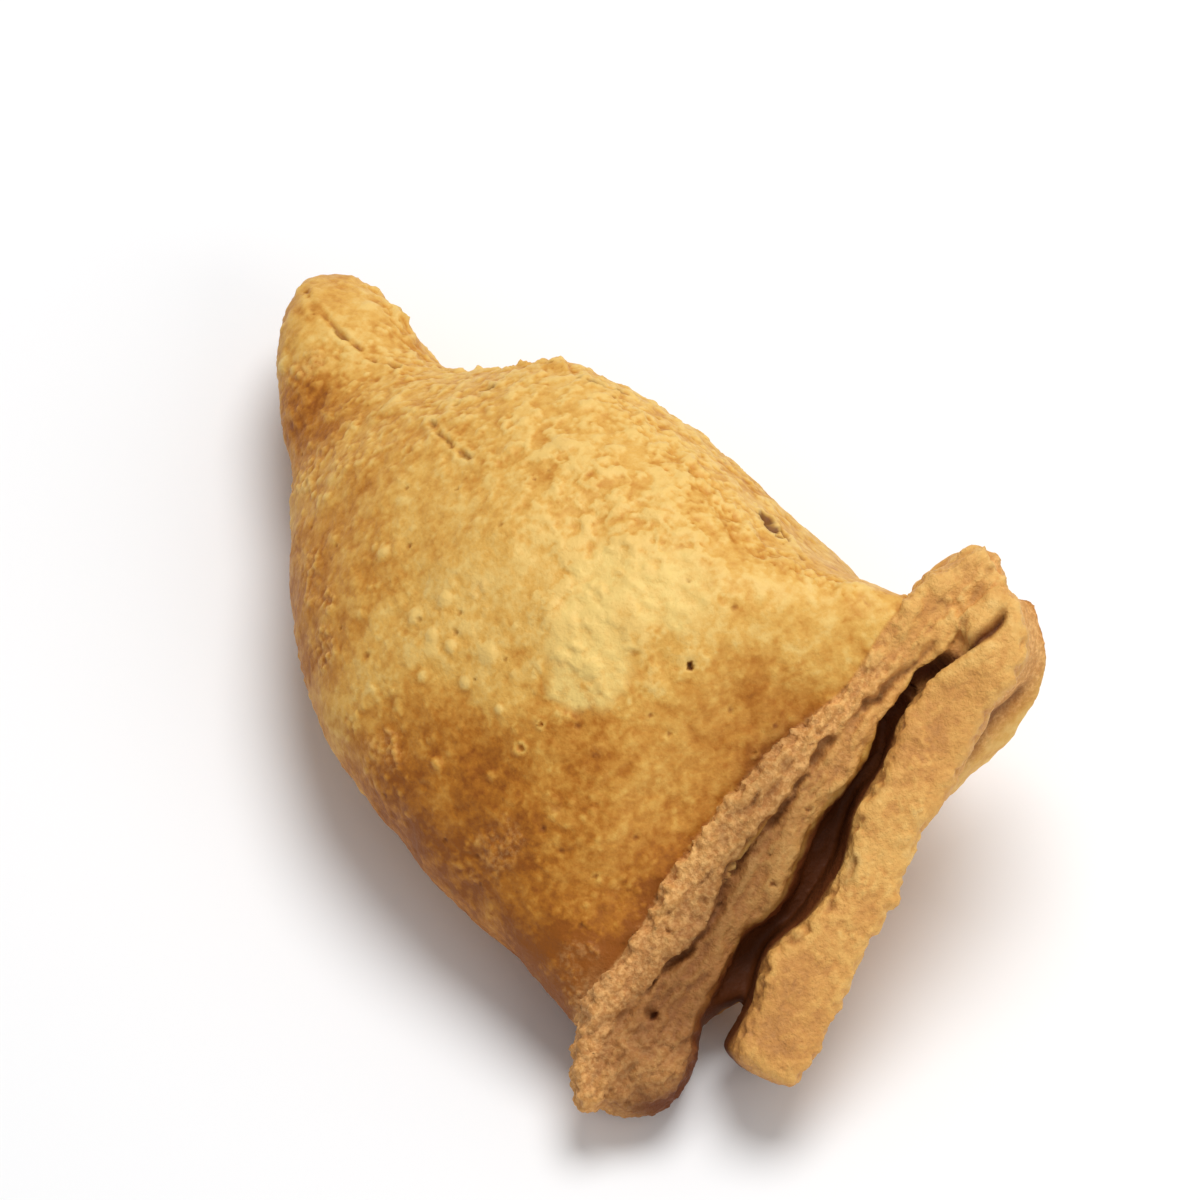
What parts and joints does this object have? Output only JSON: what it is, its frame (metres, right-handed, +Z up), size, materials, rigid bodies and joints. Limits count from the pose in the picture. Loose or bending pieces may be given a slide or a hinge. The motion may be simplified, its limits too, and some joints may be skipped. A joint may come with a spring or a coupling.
{
  "type": "samosa",
  "caption": "Fried samosa lying on its back: golden blistered skin, a blunt tip, and a crimped seam that has opened into two lips of cut dough.",
  "frame": {"origin": "middle of the bottom of the bounding box, on the surface that the pastry lies on", "axes": "+Y from the open seam to the tip, +Z up, +X towards the high corner of the seam"},
  "size_m": [0.0544, 0.092, 0.0328],
  "materials": {
    "crust": "fried wheat dough, golden brown, dull with a faint sheen of oil"
  },
  "bodies": {
    "root": {"samosa": "crust"}
  },
  "joints": []
}
